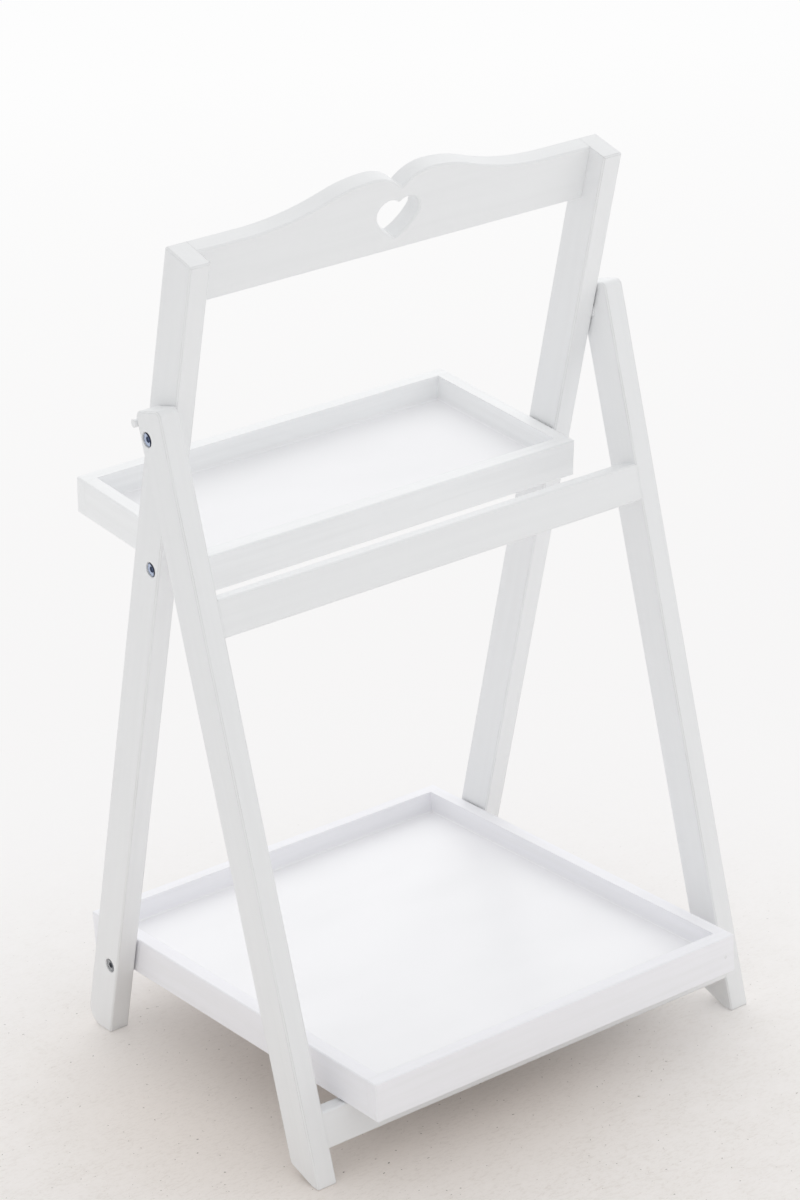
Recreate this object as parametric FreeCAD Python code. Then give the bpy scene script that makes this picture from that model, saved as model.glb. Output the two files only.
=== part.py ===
"""Folding two-tier step shelf in painted wood, with a scalloped top rail and a heart cut-out.

+X runs to the right, -Y is the front, +Z is up. The origin lies on the floor, under the
middle of the lower tray. Lengths are in millimetres and angles in degrees.
"""
import FreeCAD
import Part
import math
import os

V = FreeCAD.Vector
X_AXIS = V(1, 0, 0)
ORIGIN = V(0, 0, 0)

# Stiles, the long sticks that lean forward from the rear feet
stile_thickness = 20.0
stile_depth = 37.0
stile_length = 845.0
stile_lean = 18.3
stile_foot_radius = 16.0

# Legs, the short sticks outside the stiles that lean back from the front feet
leg_thickness = 20.0
leg_depth = 37.0
open_angle = 30.0
leg_above_hinge = 24.0
leg_top_radius = 6.0
leg_foot_flat = 9.0
leg_foot_rise = 18.5
leg_foot_radius = 5.0

# Hinge between the leg frame and the stiles
hinge_below_stile_top = 161.4
hinge_from_stile_front = 6.0
hinge_from_leg_rear = 10.0
hinge_washer_thickness = 1.3
stop_pin_diameter = 7.0
stop_pin_above_hinge = 13.8
stop_pin_seat = 12.0
stop_pin_gap = 0.05
stop_pin_past_leg = 1.5

# Crossbars, set flush with the fronts of the legs
crossbar_thickness = 20.0
crossbar_height = 33.0
upper_crossbar_top_below_hinge = 139.5
tray_rest_gap = 0.3

# Top rail, flush with the rear of the stiles
rail_thickness = 17.5
rail_end_height = 50.5
lobe_height = 22.4
lobe_top_from_middle = 30.0
lobe_radius = 120.0
flank_start_from_middle = 155.0
cusp_height = 9.0
cusp_round = 1.5
heart_half_width = 21.6
heart_top_below_stile_top = 1.6
heart_cleft_below_top = 4.0
heart_tip_below_top = 37.2
heart_cheek_angle = -30.0
heart_tip_round = 1.2
heart_cleft_round = 2.2

# Trays
tray_width = 400.0
tray_to_stile = 2.0
tray_wall = 13.0
panel_thickness = 5.0
panel_groove = 4.0
panel_groove_gap = 0.2
tray_bolt_height = 11.0
tray_bolt_from_stile_front = 11.5
upper_tray_depth = 197.0
upper_tray_height = 34.3
upper_tray_bolt_from_front = 46.9
upper_tray_tilt = 7.0
upper_panel_height = 6.0
upper_bolt_below_hinge = 142.6
rest_pin_behind_bolt = 19.0
rest_pin_seat = 12.0
rest_pin_reach = 10.0
lower_tray_depth = 448.0
lower_tray_height = 36.8
lower_panel_height = 11.0
lower_tray_bolt_from_rear = 61.5
lower_bolt_along_stile = 87.8

# Bevels along the edges of the wood
arris = 1.3
rail_arris = 1.3
wall_arris = 0.9

# Bolts, threaded inserts and washers
bolt_diameter = 6.0
bolt_running_gap = 0.05
head_diameter = 12.6
head_thickness = 2.4
head_edge_bevel = 0.7
socket_across_flats = 5.0
socket_depth = 2.0
head_pocket_gap = 0.4
head_sink = 1.0
insert_diameter = 9.0
insert_length = 7.5
insert_fit_gap = 0.02
hinge_insert_length = 13.0
bolt_end_gap = 0.5
washer_diameter = 13.0
washer_face_gap = 0.1

# Dowels
dowel_diameter = 8.0
dowel_length = 30.0
dowel_fit_gap = 0.03
dowel_end_gap = 0.5
rail_dowel_spacing = 24.0

# How far a cutting tool runs past what it cuts
overrun = 1.0

# Places across the shelf, from the middle outwards
tray_side = tray_width / 2
stile_inner = tray_side + tray_to_stile
stile_outer = stile_inner + stile_thickness
leg_inner = stile_outer + hinge_washer_thickness
leg_outer = leg_inner + leg_thickness


def turned(y, z, angle):
    """A place in a frame that is turned by angle about X, as it lies in the upright frame."""
    c = math.cos(math.radians(angle))
    s = math.sin(math.radians(angle))
    return y * c - z * s, y * s + z * c


# Places along the stiles
hinge_along_stile = stile_length - hinge_below_stile_top
upper_bolt_along_stile = hinge_along_stile - upper_bolt_below_hinge

# Places from front to rear, worked out from the lower tray, which is centred on the origin
bolt_depth_in_stile = stile_depth - tray_bolt_from_stile_front
lower_bolt_y = lower_tray_depth / 2 - lower_tray_bolt_from_rear
lower_bolt_offset = turned(-bolt_depth_in_stile, lower_bolt_along_stile, stile_lean)
stile_foot_y = lower_bolt_y - lower_bolt_offset[0]
lower_bolt_z = lower_bolt_offset[1]
upper_bolt_offset = turned(-bolt_depth_in_stile, upper_bolt_along_stile, stile_lean)
upper_bolt_y = stile_foot_y + upper_bolt_offset[0]
upper_bolt_z = upper_bolt_offset[1]
hinge_offset = turned(hinge_from_stile_front - stile_depth, hinge_along_stile, stile_lean)
hinge_y = stile_foot_y + hinge_offset[0]
hinge_z = hinge_offset[1]

# The leg frame hangs from the hinge, so its foot follows from the floor
leg_lean = open_angle - stile_lean
hinge_from_leg_front = leg_depth - hinge_from_leg_rear
leg_front_drop = hinge_z + hinge_from_leg_front * math.sin(math.radians(leg_lean))
hinge_along_leg = leg_front_drop / math.cos(math.radians(leg_lean))
leg_foot_y = hinge_y - turned(hinge_from_leg_front, hinge_along_leg, -leg_lean)[0]
lower_tray_bottom = lower_bolt_z - tray_bolt_height
lower_crossbar_top = (lower_tray_bottom - tray_rest_gap) / math.cos(math.radians(leg_lean))
upper_crossbar_top = hinge_along_leg - upper_crossbar_top_below_hinge


def face_yz(points, x):
    """A flat face in a plane of constant X from points given as (y, z)."""
    corners = [V(x, y, z) for y, z in points]
    return Part.Face(Part.makePolygon(corners + corners[:1]))


def bar_x(x0, x1, y, z, diameter):
    """A round bar along X from x0 to x1."""
    return Part.makeCylinder(diameter / 2, x1 - x0, V(x0, y, z), X_AXIS)


def block(x0, x1, y0, y1, z0, z1):
    return Part.makeBox(x1 - x0, y1 - y0, z1 - z0, V(x0, y0, z0))


def edges_along_x(shape, y, z):
    """The edges that run along X at one place in Y and Z."""
    found = []
    for edge in shape.Edges:
        a = edge.Vertexes[0].Point
        b = edge.Vertexes[-1].Point
        reach = max(abs(a.y - y), abs(b.y - y), abs(a.z - z), abs(b.z - z))
        if reach < arris / 10 and abs(a.x - b.x) > arris:
            found.append(edge)
    return found


def mirrored(shape):
    return shape.mirror(ORIGIN, X_AXIS)


def stand_with_stile(shape):
    """Tips a piece drawn upright against the rear face of a stile into its lean."""
    placed = shape.copy()
    placed.rotate(ORIGIN, X_AXIS, stile_lean)
    placed.translate(V(0, stile_foot_y, 0))
    return placed


def stand_with_leg(shape):
    """Tips a piece drawn upright against the front face of a leg into its lean."""
    placed = shape.copy()
    placed.rotate(ORIGIN, X_AXIS, -leg_lean)
    placed.translate(V(0, leg_foot_y, 0))
    return placed


def hang_upper_tray(shape):
    """Sets a piece drawn level about the upper bolt axis at the tray's place and tilt."""
    placed = shape.copy()
    placed.rotate(ORIGIN, X_AXIS, upper_tray_tilt)
    placed.translate(V(0, upper_bolt_y, upper_bolt_z))
    return placed


def hang_lower_tray(shape):
    placed = shape.copy()
    placed.translate(V(0, lower_bolt_y, lower_bolt_z))
    return placed


def pair(shape):
    return Part.makeCompound([mirrored(shape), shape])


def dowels(x_face, places):
    """Dowels across a butt joint whose face is at x_face, at places given as (y, z)."""
    half = dowel_length / 2
    return [bar_x(x_face - half, x_face + half, y, z, dowel_diameter) for y, z in places]


def dowel_holes(x_face, places):
    half = dowel_length / 2 + dowel_end_gap
    bore = dowel_diameter + 2 * dowel_fit_gap
    return [bar_x(x_face - half, x_face + half, y, z, bore) for y, z in places]


def rail_dowel_places():
    """Two dowels at each end of the rail, in the upright frame of the stile."""
    middle = stile_length - rail_end_height / 2
    apart = rail_dowel_spacing / 2
    return [(-rail_thickness / 2, middle - apart), (-rail_thickness / 2, middle + apart)]


def crossbar_dowel_places(top):
    """One dowel at each end of a crossbar, in the upright frame of the leg."""
    return [(crossbar_thickness / 2, top - crossbar_height / 2)]


def meets_rail(edge):
    """Whether an edge is the stile's inner top one, which stays sharp beside the rail."""
    box = edge.BoundBox
    return box.XMax < stile_inner + arris / 10 and box.ZMin > stile_length - arris / 10


def stile():
    """The right stile, drawn upright with its rear face on Y = 0."""
    floor_rise = stile_depth * math.tan(math.radians(stile_lean))
    outline = [(0, 0), (0, stile_length), (-stile_depth, stile_length), (-stile_depth, floor_rise)]
    stick = face_yz(outline, stile_inner).extrude(V(stile_thickness, 0, 0))
    stick = stick.makeFillet(stile_foot_radius, edges_along_x(stick, 0, 0))
    stick = stick.makeChamfer(arris, [edge for edge in stick.Edges if not meets_rail(edge)])
    shank = bolt_diameter + 2 * bolt_running_gap
    pocket = head_diameter + 2 * head_pocket_gap
    head_room = head_sink + head_thickness
    cuts = dowel_holes(stile_inner, rail_dowel_places())
    for along in (upper_bolt_along_stile, lower_bolt_along_stile):
        y = -bolt_depth_in_stile
        cuts.append(bar_x(stile_inner - overrun, stile_outer + overrun, y, along, shank))
        cuts.append(bar_x(stile_outer - head_room, stile_outer + overrun, y, along, pocket))
    y = hinge_from_stile_front - stile_depth
    insert_bore = insert_diameter + 2 * insert_fit_gap
    deep = hinge_insert_length + bolt_end_gap
    cuts.append(bar_x(stile_outer - deep, stile_outer + overrun, y, hinge_along_stile, insert_bore))
    pin_y, pin_z = stop_pin_place()
    bore = stop_pin_diameter + 2 * dowel_fit_gap
    cuts.append(bar_x(stile_outer - stop_pin_seat, stile_outer + overrun, pin_y, pin_z, bore))
    rest_y, rest_z = rest_pin_place()
    cuts.append(bar_x(stile_inner - overrun, stile_inner + rest_pin_seat, rest_y, rest_z, bore))
    return stick.cut(Part.makeCompound(cuts))


def stop_pin_place():
    """Where the stop pin sits, in the upright frame of the stile: it touches the leg's rear."""
    behind = hinge_from_leg_rear + stop_pin_diameter / 2 + stop_pin_gap
    y, z = turned(behind, stop_pin_above_hinge, -open_angle)
    return hinge_from_stile_front - stile_depth + y, hinge_along_stile + z


def stop_pin():
    y, z = stop_pin_place()
    return bar_x(stile_outer - stop_pin_seat, leg_outer + stop_pin_past_leg, y, z, stop_pin_diameter)


def rest_pin_place():
    """Where the pin under the upper tray sits, in the upright frame of the stile."""
    below = tray_bolt_height + stop_pin_diameter / 2 + stop_pin_gap
    y, z = turned(rest_pin_behind_bolt, -below, upper_tray_tilt - stile_lean)
    return y - bolt_depth_in_stile, z + upper_bolt_along_stile


def rest_pin():
    y, z = rest_pin_place()
    return bar_x(stile_inner - rest_pin_reach, stile_inner + rest_pin_seat, y, z, stop_pin_diameter)


def lobe_half():
    """Half of the rail's top line as curves from the cusp to the stile, with X and Z as its axes."""
    drop = lobe_height - cusp_height
    inner_radius = (drop ** 2 + lobe_top_from_middle ** 2) / (2 * drop)
    span = flank_start_from_middle - lobe_top_from_middle
    flank_radius = (span ** 2 + lobe_height ** 2) / (2 * lobe_height) - lobe_radius
    share = lobe_radius / (lobe_radius + flank_radius)
    top = V(lobe_top_from_middle, 0, lobe_height)
    cusp = V(0, 0, cusp_height)
    inner_bow = (cusp + top) * 0.5
    inner_centre = V(lobe_top_from_middle, 0, lobe_height - inner_radius)
    inner_mid = inner_centre + (inner_bow - inner_centre).normalize() * inner_radius
    lobe_centre = V(lobe_top_from_middle, 0, lobe_height - lobe_radius)
    flank_centre = V(flank_start_from_middle, 0, flank_radius)
    bend = lobe_centre + (flank_centre - lobe_centre) * share
    lobe_mid = lobe_centre + ((top + bend) * 0.5 - lobe_centre).normalize() * lobe_radius
    foot = V(flank_start_from_middle, 0, 0)
    flank_mid = flank_centre + ((bend + foot) * 0.5 - flank_centre).normalize() * flank_radius
    return [
        Part.Arc(cusp, inner_mid, top).toShape(),
        Part.Arc(top, lobe_mid, bend).toShape(),
        Part.Arc(bend, flank_mid, foot).toShape(),
    ]


def heart_half():
    """Half of the heart from its cleft round the cheek to its tip, with X and Z as its axes."""
    top = -heart_top_below_stile_top
    cleft = V(0, 0, top - heart_cleft_below_top)
    tip = V(0, 0, top - heart_tip_below_top)
    a = heart_cleft_below_top
    b = heart_half_width
    cheek = b + a - math.sqrt(2 * a * b)
    centre = V(b - cheek, 0, top - cheek)
    turn = math.radians(heart_cheek_angle)
    out = V(math.cos(turn), 0, math.sin(turn))
    leave = centre + out * cheek
    to_tip = tip - centre
    along = to_tip.dot(out)
    side_radius = (to_tip.dot(to_tip) - 2 * cheek * along + cheek ** 2) / (2 * (cheek - along))
    side_centre = centre + out * (cheek - side_radius)
    side_mid = side_centre + ((leave + tip) * 0.5 - side_centre).normalize() * side_radius
    halfway = (math.atan2(cleft.z - centre.z, cleft.x - centre.x) + turn) / 2
    cheek_mid = centre + V(math.cos(halfway), 0, math.sin(halfway)) * cheek
    return [
        Part.Arc(cleft, cheek_mid, leave).toShape(),
        Part.Arc(leave, side_mid, tip).toShape(),
    ]


def closed_face(half):
    """A face from half an outline and its mirror image."""
    other = [mirrored(edge) for edge in half]
    ordered = Part.__sortEdges__(half + other)
    return Part.Face(Part.Wire(ordered))


def upright_edges(shape, x, z, reach):
    """The edges that run along Y at one place in X and Z."""
    found = []
    for edge in shape.Edges:
        a = edge.Vertexes[0].Point
        b = edge.Vertexes[-1].Point
        near = max(abs(a.x - x), abs(b.x - x), abs(a.z - z), abs(b.z - z))
        if near < reach and abs(a.y - b.y) > reach:
            found.append(edge)
    return found


def top_rail():
    """The rail, drawn upright with its rear face on Y = 0 and the stile tops at Z = 0."""
    half = lobe_half()
    half.append(Part.makeLine(V(flank_start_from_middle, 0, 0), V(stile_inner, 0, 0)))
    half.append(Part.makeLine(V(stile_inner, 0, 0), V(stile_inner, 0, -rail_end_height)))
    half.append(Part.makeLine(V(stile_inner, 0, -rail_end_height), V(0, 0, -rail_end_height)))
    board = closed_face(half).extrude(V(0, -rail_thickness, 0))
    board = board.makeFillet(cusp_round, upright_edges(board, 0, cusp_height, arris / 10))
    heart = closed_face(heart_half()).extrude(V(0, -rail_thickness, 0))
    tip = -heart_top_below_stile_top - heart_tip_below_top
    cleft = -heart_top_below_stile_top - heart_cleft_below_top
    heart = heart.makeFillet(heart_tip_round, upright_edges(heart, 0, tip, arris / 10))
    heart = heart.makeFillet(heart_cleft_round, upright_edges(heart, 0, cleft, arris / 10))
    board = board.cut(heart)
    rims = []
    for edge in board.Edges:
        box = edge.BoundBox
        flat = box.YLength < arris / 10
        at_end = abs(abs(box.Center.x) - stile_inner) < arris / 10
        if flat and not at_end:
            rims.append(edge)
    board = board.makeChamfer(rail_arris, rims)
    board.translate(V(0, 0, stile_length))
    holes = dowel_holes(stile_inner, rail_dowel_places())
    holes += [mirrored(hole) for hole in holes]
    return board.cut(Part.makeCompound(holes))


def leg():
    """The right leg, drawn upright with its front face on Y = 0."""
    top = hinge_along_leg + leg_above_hinge
    flat_rise = leg_foot_flat * math.tan(math.radians(leg_lean))
    outline = [(0, 0), (leg_foot_flat, flat_rise), (leg_depth, leg_foot_rise), (leg_depth, top), (0, top)]
    stick = face_yz(outline, leg_inner).extrude(V(leg_thickness, 0, 0))
    corners = edges_along_x(stick, 0, top) + edges_along_x(stick, leg_depth, top)
    stick = stick.makeFillet(leg_top_radius, corners)
    stick = stick.makeFillet(leg_foot_radius, edges_along_x(stick, leg_depth, leg_foot_rise))
    stick = stick.makeChamfer(arris, stick.Edges)
    shank = bolt_diameter + 2 * bolt_running_gap
    y = hinge_from_leg_front
    pocket = head_diameter + 2 * head_pocket_gap
    head_room = head_sink + head_thickness
    cuts = [
        bar_x(leg_inner - overrun, leg_outer + overrun, y, hinge_along_leg, shank),
        bar_x(leg_outer - head_room, leg_outer + overrun, y, hinge_along_leg, pocket),
    ]
    for crossbar_top in (upper_crossbar_top, lower_crossbar_top):
        cuts += dowel_holes(leg_inner, crossbar_dowel_places(crossbar_top))
    return stick.cut(Part.makeCompound(cuts))


def crossbar(top):
    """A crossbar, drawn upright with its front face on Y = 0."""
    bar = block(-leg_inner, leg_inner, 0, crossbar_thickness, top - crossbar_height, top)
    long_edges = [edge for edge in bar.Edges if edge.BoundBox.XLength > leg_inner]
    bar = bar.makeChamfer(arris, long_edges)
    holes = dowel_holes(leg_inner, crossbar_dowel_places(top))
    holes += [mirrored(hole) for hole in holes]
    return bar.cut(Part.makeCompound(holes))


def crossbar_dowels():
    bars = []
    for top in (upper_crossbar_top, lower_crossbar_top):
        bars += dowels(leg_inner, crossbar_dowel_places(top))
    return Part.makeCompound(bars + [mirrored(bar) for bar in bars])


def rail_dowels():
    bars = dowels(stile_inner, rail_dowel_places())
    return Part.makeCompound(bars + [mirrored(bar) for bar in bars])


def bolt(head_face, tip, y, z):
    """A bolt along X with its flat head's face at head_face, pointing inwards to tip."""
    under = head_face - head_thickness
    head = bar_x(under, head_face, y, z, head_diameter)
    rim = [edge for edge in head.Edges if abs(edge.BoundBox.XMax - head_face) < head_edge_bevel / 10]
    rim = [edge for edge in rim if edge.BoundBox.XLength < head_edge_bevel / 10]
    head = head.makeChamfer(head_edge_bevel, rim)
    corner = socket_across_flats / math.sqrt(3)
    corners = []
    for step in range(6):
        turn = math.radians(60 * step)
        corners.append((y + corner * math.cos(turn), z + corner * math.sin(turn)))
    socket = face_yz(corners, head_face - socket_depth).extrude(V(socket_depth + overrun, 0, 0))
    shank = bar_x(tip, under, y, z, bolt_diameter)
    return head.fuse(shank).removeSplitter().cut(socket)


def sleeve(x0, x1, y, z, outer, inner):
    """A round sleeve along X, such as a washer or a threaded insert."""
    body = bar_x(x0, x1, y, z, outer)
    return body.cut(bar_x(x0 - overrun, x1 + overrun, y, z, inner))


def hinge_bolt():
    y = hinge_from_stile_front - stile_depth
    tip = stile_outer - hinge_insert_length
    return bolt(leg_outer - head_sink, tip, y, hinge_along_stile)


def hinge_washer():
    y = hinge_from_stile_front - stile_depth
    bore = bolt_diameter + 2 * bolt_running_gap
    return sleeve(stile_outer, leg_inner - washer_face_gap, y, hinge_along_stile, washer_diameter, bore)


def hinge_insert():
    y = hinge_from_stile_front - stile_depth
    bore = bolt_diameter + 2 * insert_fit_gap
    inner = stile_outer - hinge_insert_length
    return sleeve(inner, stile_outer, y, hinge_along_stile, insert_diameter, bore)


def tray_bolt():
    """A tray bolt about its own axis, with its head sunk in the stile."""
    return bolt(stile_outer - head_sink, tray_side - insert_length, 0, 0)


def tray_washer():
    bore = bolt_diameter + 2 * bolt_running_gap
    return sleeve(tray_side, stile_inner - washer_face_gap, 0, 0, washer_diameter, bore)


def tray_insert():
    bore = bolt_diameter + 2 * insert_fit_gap
    return sleeve(tray_side - insert_length, tray_side, 0, 0, insert_diameter, bore)


class Tray:
    """One tray's sizes, drawn level with the bolt axis at Y = 0, Z = 0."""

    def __init__(self, depth, height, bolt_from_front, panel_height):
        self.front = -bolt_from_front
        self.rear = depth - bolt_from_front
        self.bottom = -tray_bolt_height
        self.top = height - tray_bolt_height
        self.panel_low = self.bottom + panel_height
        self.panel_high = self.panel_low + panel_thickness

    def groove(self):
        """The space of the panel and its play, as cut from all four walls."""
        reach = tray_side - tray_wall + panel_groove + panel_groove_gap
        play = tray_wall - panel_groove - panel_groove_gap
        return block(-reach, reach, self.front + play, self.rear - play,
                     self.panel_low - panel_groove_gap, self.panel_high + panel_groove_gap)

    def panel(self):
        reach = tray_side - tray_wall + panel_groove
        play = tray_wall - panel_groove
        return block(-reach, reach, self.front + play, self.rear - play, self.panel_low, self.panel_high)

    def end_wall(self, outer, inner):
        """The front or rear wall, which runs the full width. Its inner edges stay sharp for the joints."""
        near, far = sorted((outer, inner))
        wall = block(-tray_side, tray_side, near, far, self.bottom, self.top)
        reach = tray_wall * 3 / 4
        free = [edge for edge in wall.Edges if abs(edge.CenterOfMass.y - outer) < reach]
        return wall.makeChamfer(wall_arris, free).cut(self.groove())

    def side_wall(self):
        """The right wall, between the end walls. Only its outer long edges are eased."""
        y0 = self.front + tray_wall
        y1 = self.rear - tray_wall
        wall = block(tray_side - tray_wall, tray_side, y0, y1, self.bottom, self.top)
        middle = tray_side - tray_wall / 2
        outer = [edge for edge in wall.Edges if edge.CenterOfMass.x > middle]
        wall = wall.makeChamfer(wall_arris, [edge for edge in outer if edge.BoundBox.YLength > tray_wall])
        bore = insert_diameter + 2 * insert_fit_gap
        deep = insert_length + bolt_end_gap
        hole = bar_x(tray_side - deep, tray_side + overrun, 0, 0, bore)
        return wall.cut(Part.makeCompound([self.groove(), hole]))

    def pieces(self, name):
        side = self.side_wall()
        return {
            name + "_front_wall": self.end_wall(self.front, self.front + tray_wall),
            name + "_rear_wall": self.end_wall(self.rear, self.rear - tray_wall),
            name + "_left_wall": mirrored(side),
            name + "_right_wall": side,
            name + "_panel": self.panel(),
            name + "_bolts": pair(tray_bolt()),
            name + "_washers": pair(tray_washer()),
            name + "_inserts": pair(tray_insert()),
        }


def stile_frame_pieces():
    right = stile()
    pieces = {
        "left_stile": mirrored(right),
        "right_stile": right,
        "top_rail": top_rail(),
        "rail_dowels": rail_dowels(),
        "stop_pins": pair(stop_pin()),
        "tray_rest_pins": pair(rest_pin()),
        "hinge_bolts": pair(hinge_bolt()),
        "hinge_washers": pair(hinge_washer()),
        "hinge_inserts": pair(hinge_insert()),
    }
    return {name: stand_with_stile(shape) for name, shape in pieces.items()}


def leg_frame_pieces():
    right = leg()
    pieces = {
        "left_leg": mirrored(right),
        "right_leg": right,
        "upper_crossbar": crossbar(upper_crossbar_top),
        "lower_crossbar": crossbar(lower_crossbar_top),
        "crossbar_dowels": crossbar_dowels(),
    }
    return {name: stand_with_leg(shape) for name, shape in pieces.items()}


def tray_pieces():
    upper = Tray(upper_tray_depth, upper_tray_height, upper_tray_bolt_from_front, upper_panel_height)
    lower_bolt_from_front = lower_tray_depth - lower_tray_bolt_from_rear
    lower = Tray(lower_tray_depth, lower_tray_height, lower_bolt_from_front, lower_panel_height)
    pieces = {name: hang_upper_tray(shape) for name, shape in upper.pieces("upper_tray").items()}
    for name, shape in lower.pieces("lower_tray").items():
        pieces[name] = hang_lower_tray(shape)
    return pieces


def main():
    os.makedirs("parts", exist_ok=True)
    pieces = {}
    pieces.update(stile_frame_pieces())
    pieces.update(leg_frame_pieces())
    pieces.update(tray_pieces())
    for name, shape in pieces.items():
        shape.exportStep("parts/" + name + ".step")
        print(name, len(shape.Solids), shape.isValid(), round(shape.Volume))
    print("hinge", round(hinge_y, 2), round(hinge_z, 2), "leg foot", round(leg_foot_y, 2))


main()
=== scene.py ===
"""Dresses the folding step shelf: white paint, zinc plate, filled nails and a pale studio."""
import math

import bpy
from mathutils import Matrix, Vector


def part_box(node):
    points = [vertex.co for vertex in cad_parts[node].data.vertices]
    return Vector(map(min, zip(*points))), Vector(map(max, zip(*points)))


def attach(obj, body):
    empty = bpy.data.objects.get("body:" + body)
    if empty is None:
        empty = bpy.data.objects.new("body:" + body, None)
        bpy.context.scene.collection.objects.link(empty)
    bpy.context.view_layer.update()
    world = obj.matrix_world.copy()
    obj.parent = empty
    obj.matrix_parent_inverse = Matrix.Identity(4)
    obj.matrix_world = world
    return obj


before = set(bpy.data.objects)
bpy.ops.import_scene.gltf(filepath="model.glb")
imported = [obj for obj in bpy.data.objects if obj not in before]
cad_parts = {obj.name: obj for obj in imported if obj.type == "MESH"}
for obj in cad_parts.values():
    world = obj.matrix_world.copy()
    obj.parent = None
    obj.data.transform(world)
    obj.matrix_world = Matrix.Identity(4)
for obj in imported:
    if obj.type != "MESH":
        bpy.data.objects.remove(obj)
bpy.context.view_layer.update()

bl_info = {
    "name": "Folding step shelf",
    "version": (1, 0, 0),
    "blender": (4, 5, 0),
    "location": "3D View > Sidebar > Step Shelf",
    "description": "Paints and plates the folding step shelf and sets its studio",
    "category": "Object",
}

MM = 0.001

# Lean of the stiles, lean of the legs and tilt of each tray, in radians about X
STILE_TIP = math.radians(18.3)
LEG_TIP = math.radians(-11.7)
TRAY_TIPS = {"upper_tray": math.radians(7.0), "lower_tray": 0.0}

# The photograph's frame in pixels, and the camera fitted to it: where its axis meets the frame
# and its focal length in pixels, then its place in metres, heading, downward pitch and roll, and
# the millimetres of film along the frame's longer side
PHOTO_WIDTH, PHOTO_HEIGHT = 800, 1200
AXIS_X, AXIS_Y = 361.994, 700
FOCAL_PIXELS = 3625.651
CAMERA_PLACE = (-1.694781, -2.435303, 1.599959)
HEADING, PITCH, ROLL = math.radians(-34.349), math.radians(23.251), math.radians(-4.338)
SENSOR = 36

# A Mix node's sockets when it mixes colours: share, first and second colour, and the mixed one
SHARE, FIRST, SECOND, MIXED = 0, 6, 7, 2


def linear(hex_colour):
    """An sRGB hex colour as linear red, green, blue and alpha."""
    parts = [int(hex_colour[i:i + 2], 16) / 255 for i in (1, 3, 5)]
    return [p / 12.92 if p <= 0.04045 else ((p + 0.055) / 1.055) ** 2.4 for p in parts] + [1.0]


def colour(name, description, hex_colour):
    """A colour for the user to change, given as an sRGB hex value."""
    return bpy.props.FloatVectorProperty(
        name=name, description=description, subtype="COLOR", size=4, min=0, max=1,
        default=linear(hex_colour))


def length(name, description, millimetres):
    """A length for the user to change, given in millimetres."""
    return bpy.props.FloatProperty(
        name=name, description=description, subtype="DISTANCE", unit="LENGTH", min=0,
        default=millimetres * MM)


def share(name, description, value):
    """A share from 0 to 1 for the user to change."""
    return bpy.props.FloatProperty(
        name=name, description=description, subtype="FACTOR", min=0, max=1, default=value)


class ShelfPaint(bpy.types.PropertyGroup):
    white: colour("White", "Satin white of the timber", "#F2F3F4")
    thin_white: colour("Thin white", "Where the coat is thin and the pine greys it", "#ECEDEE")
    rubbed: colour("Rubbed edge", "Greyed arris of the sticks", "#CBCAC9")
    tray_white: colour("Tray white", "Cooler white of the upper tray's walls", "#FAFBFC")
    low_white: colour("Low white", "White of the lower tray's walls, faintly blue", "#F9F9FD")
    panel_white: colour("Panel white", "Smoother white of the tray floors", "#FBFBFD")
    filler: colour("Filler", "Nail filler under one coat of paint", "#F0F1F3")
    filler_speck: colour("Filler speck", "Where the paint over the filler is thin", "#DCDDDE")
    sheen: share("Timber roughness", "Roughness of the satin coat", 0.42)
    panel_sheen: share("Panel roughness", "Roughness of the sprayed tray floors", 0.26)
    bead: length("Paint bead", "Bead of paint where a tray's floor meets its walls", 1.6)
    seam: length("Seam", "Groove that paint fills where a crossbar meets a leg's bevel", 1.3)
    brush_pitch: length("Brush ridge pitch", "Distance from one brush ridge to the next", 1.4)
    brush_run: length("Brush ridge run", "Length of a brush ridge", 48)
    arris: length("Arris round", "Radius to which paint softens a stick's edge", 1.2)
    wall_arris: length("Wall arris round", "The same on a tray's wall or a crossbar", 0.4)


class ShelfHardware(bpy.types.PropertyGroup):
    zinc: colour("Zinc", "Bright zinc plate with a blue cast", "#BAC5DB")
    tarnish: colour("Tarnish", "Duller grey of rings and worn plate", "#A9ABAE")
    # Blue-black painted shade and painted reflection on the bolts: in the socket, at the rim and as
    # a crescent over the head
    painted_shade: colour("Oil", "Blue-black oil in and beside the bolt's hexagon socket", "#0E1630")
    beech: colour("Beech", "Bare beech of the dowels", "#C9A77E")
    beech_ray: colour("Beech ray", "Darker rays along the beech's grain", "#9C7650")
    socket_reach: length("Socket radius", "Reach of the hexagon from the bolt's middle", 2.95)
    head_reach: length("Head radius", "Radius of the bolt's head", 6.3)
    # The crescent of painted shade and painted reflection lies outside this circle
    unshaded_reach: length("Clean radius", "Radius of the circle that the oil leaves clean", 7.9)
    unshaded_place: bpy.props.FloatVectorProperty(
        name="Clean place", description="Middle of the clean circle, from the bolt's axis",
        subtype="TRANSLATION", unit="LENGTH", default=(0, 5.8 * MM, -2.2 * MM))
    nail_head: length("Nail head", "Diameter of a filled nail head", 4.2)
    nail_height: length("Nail height", "Height of the nails above the tray's lower edge", 17)


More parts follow.
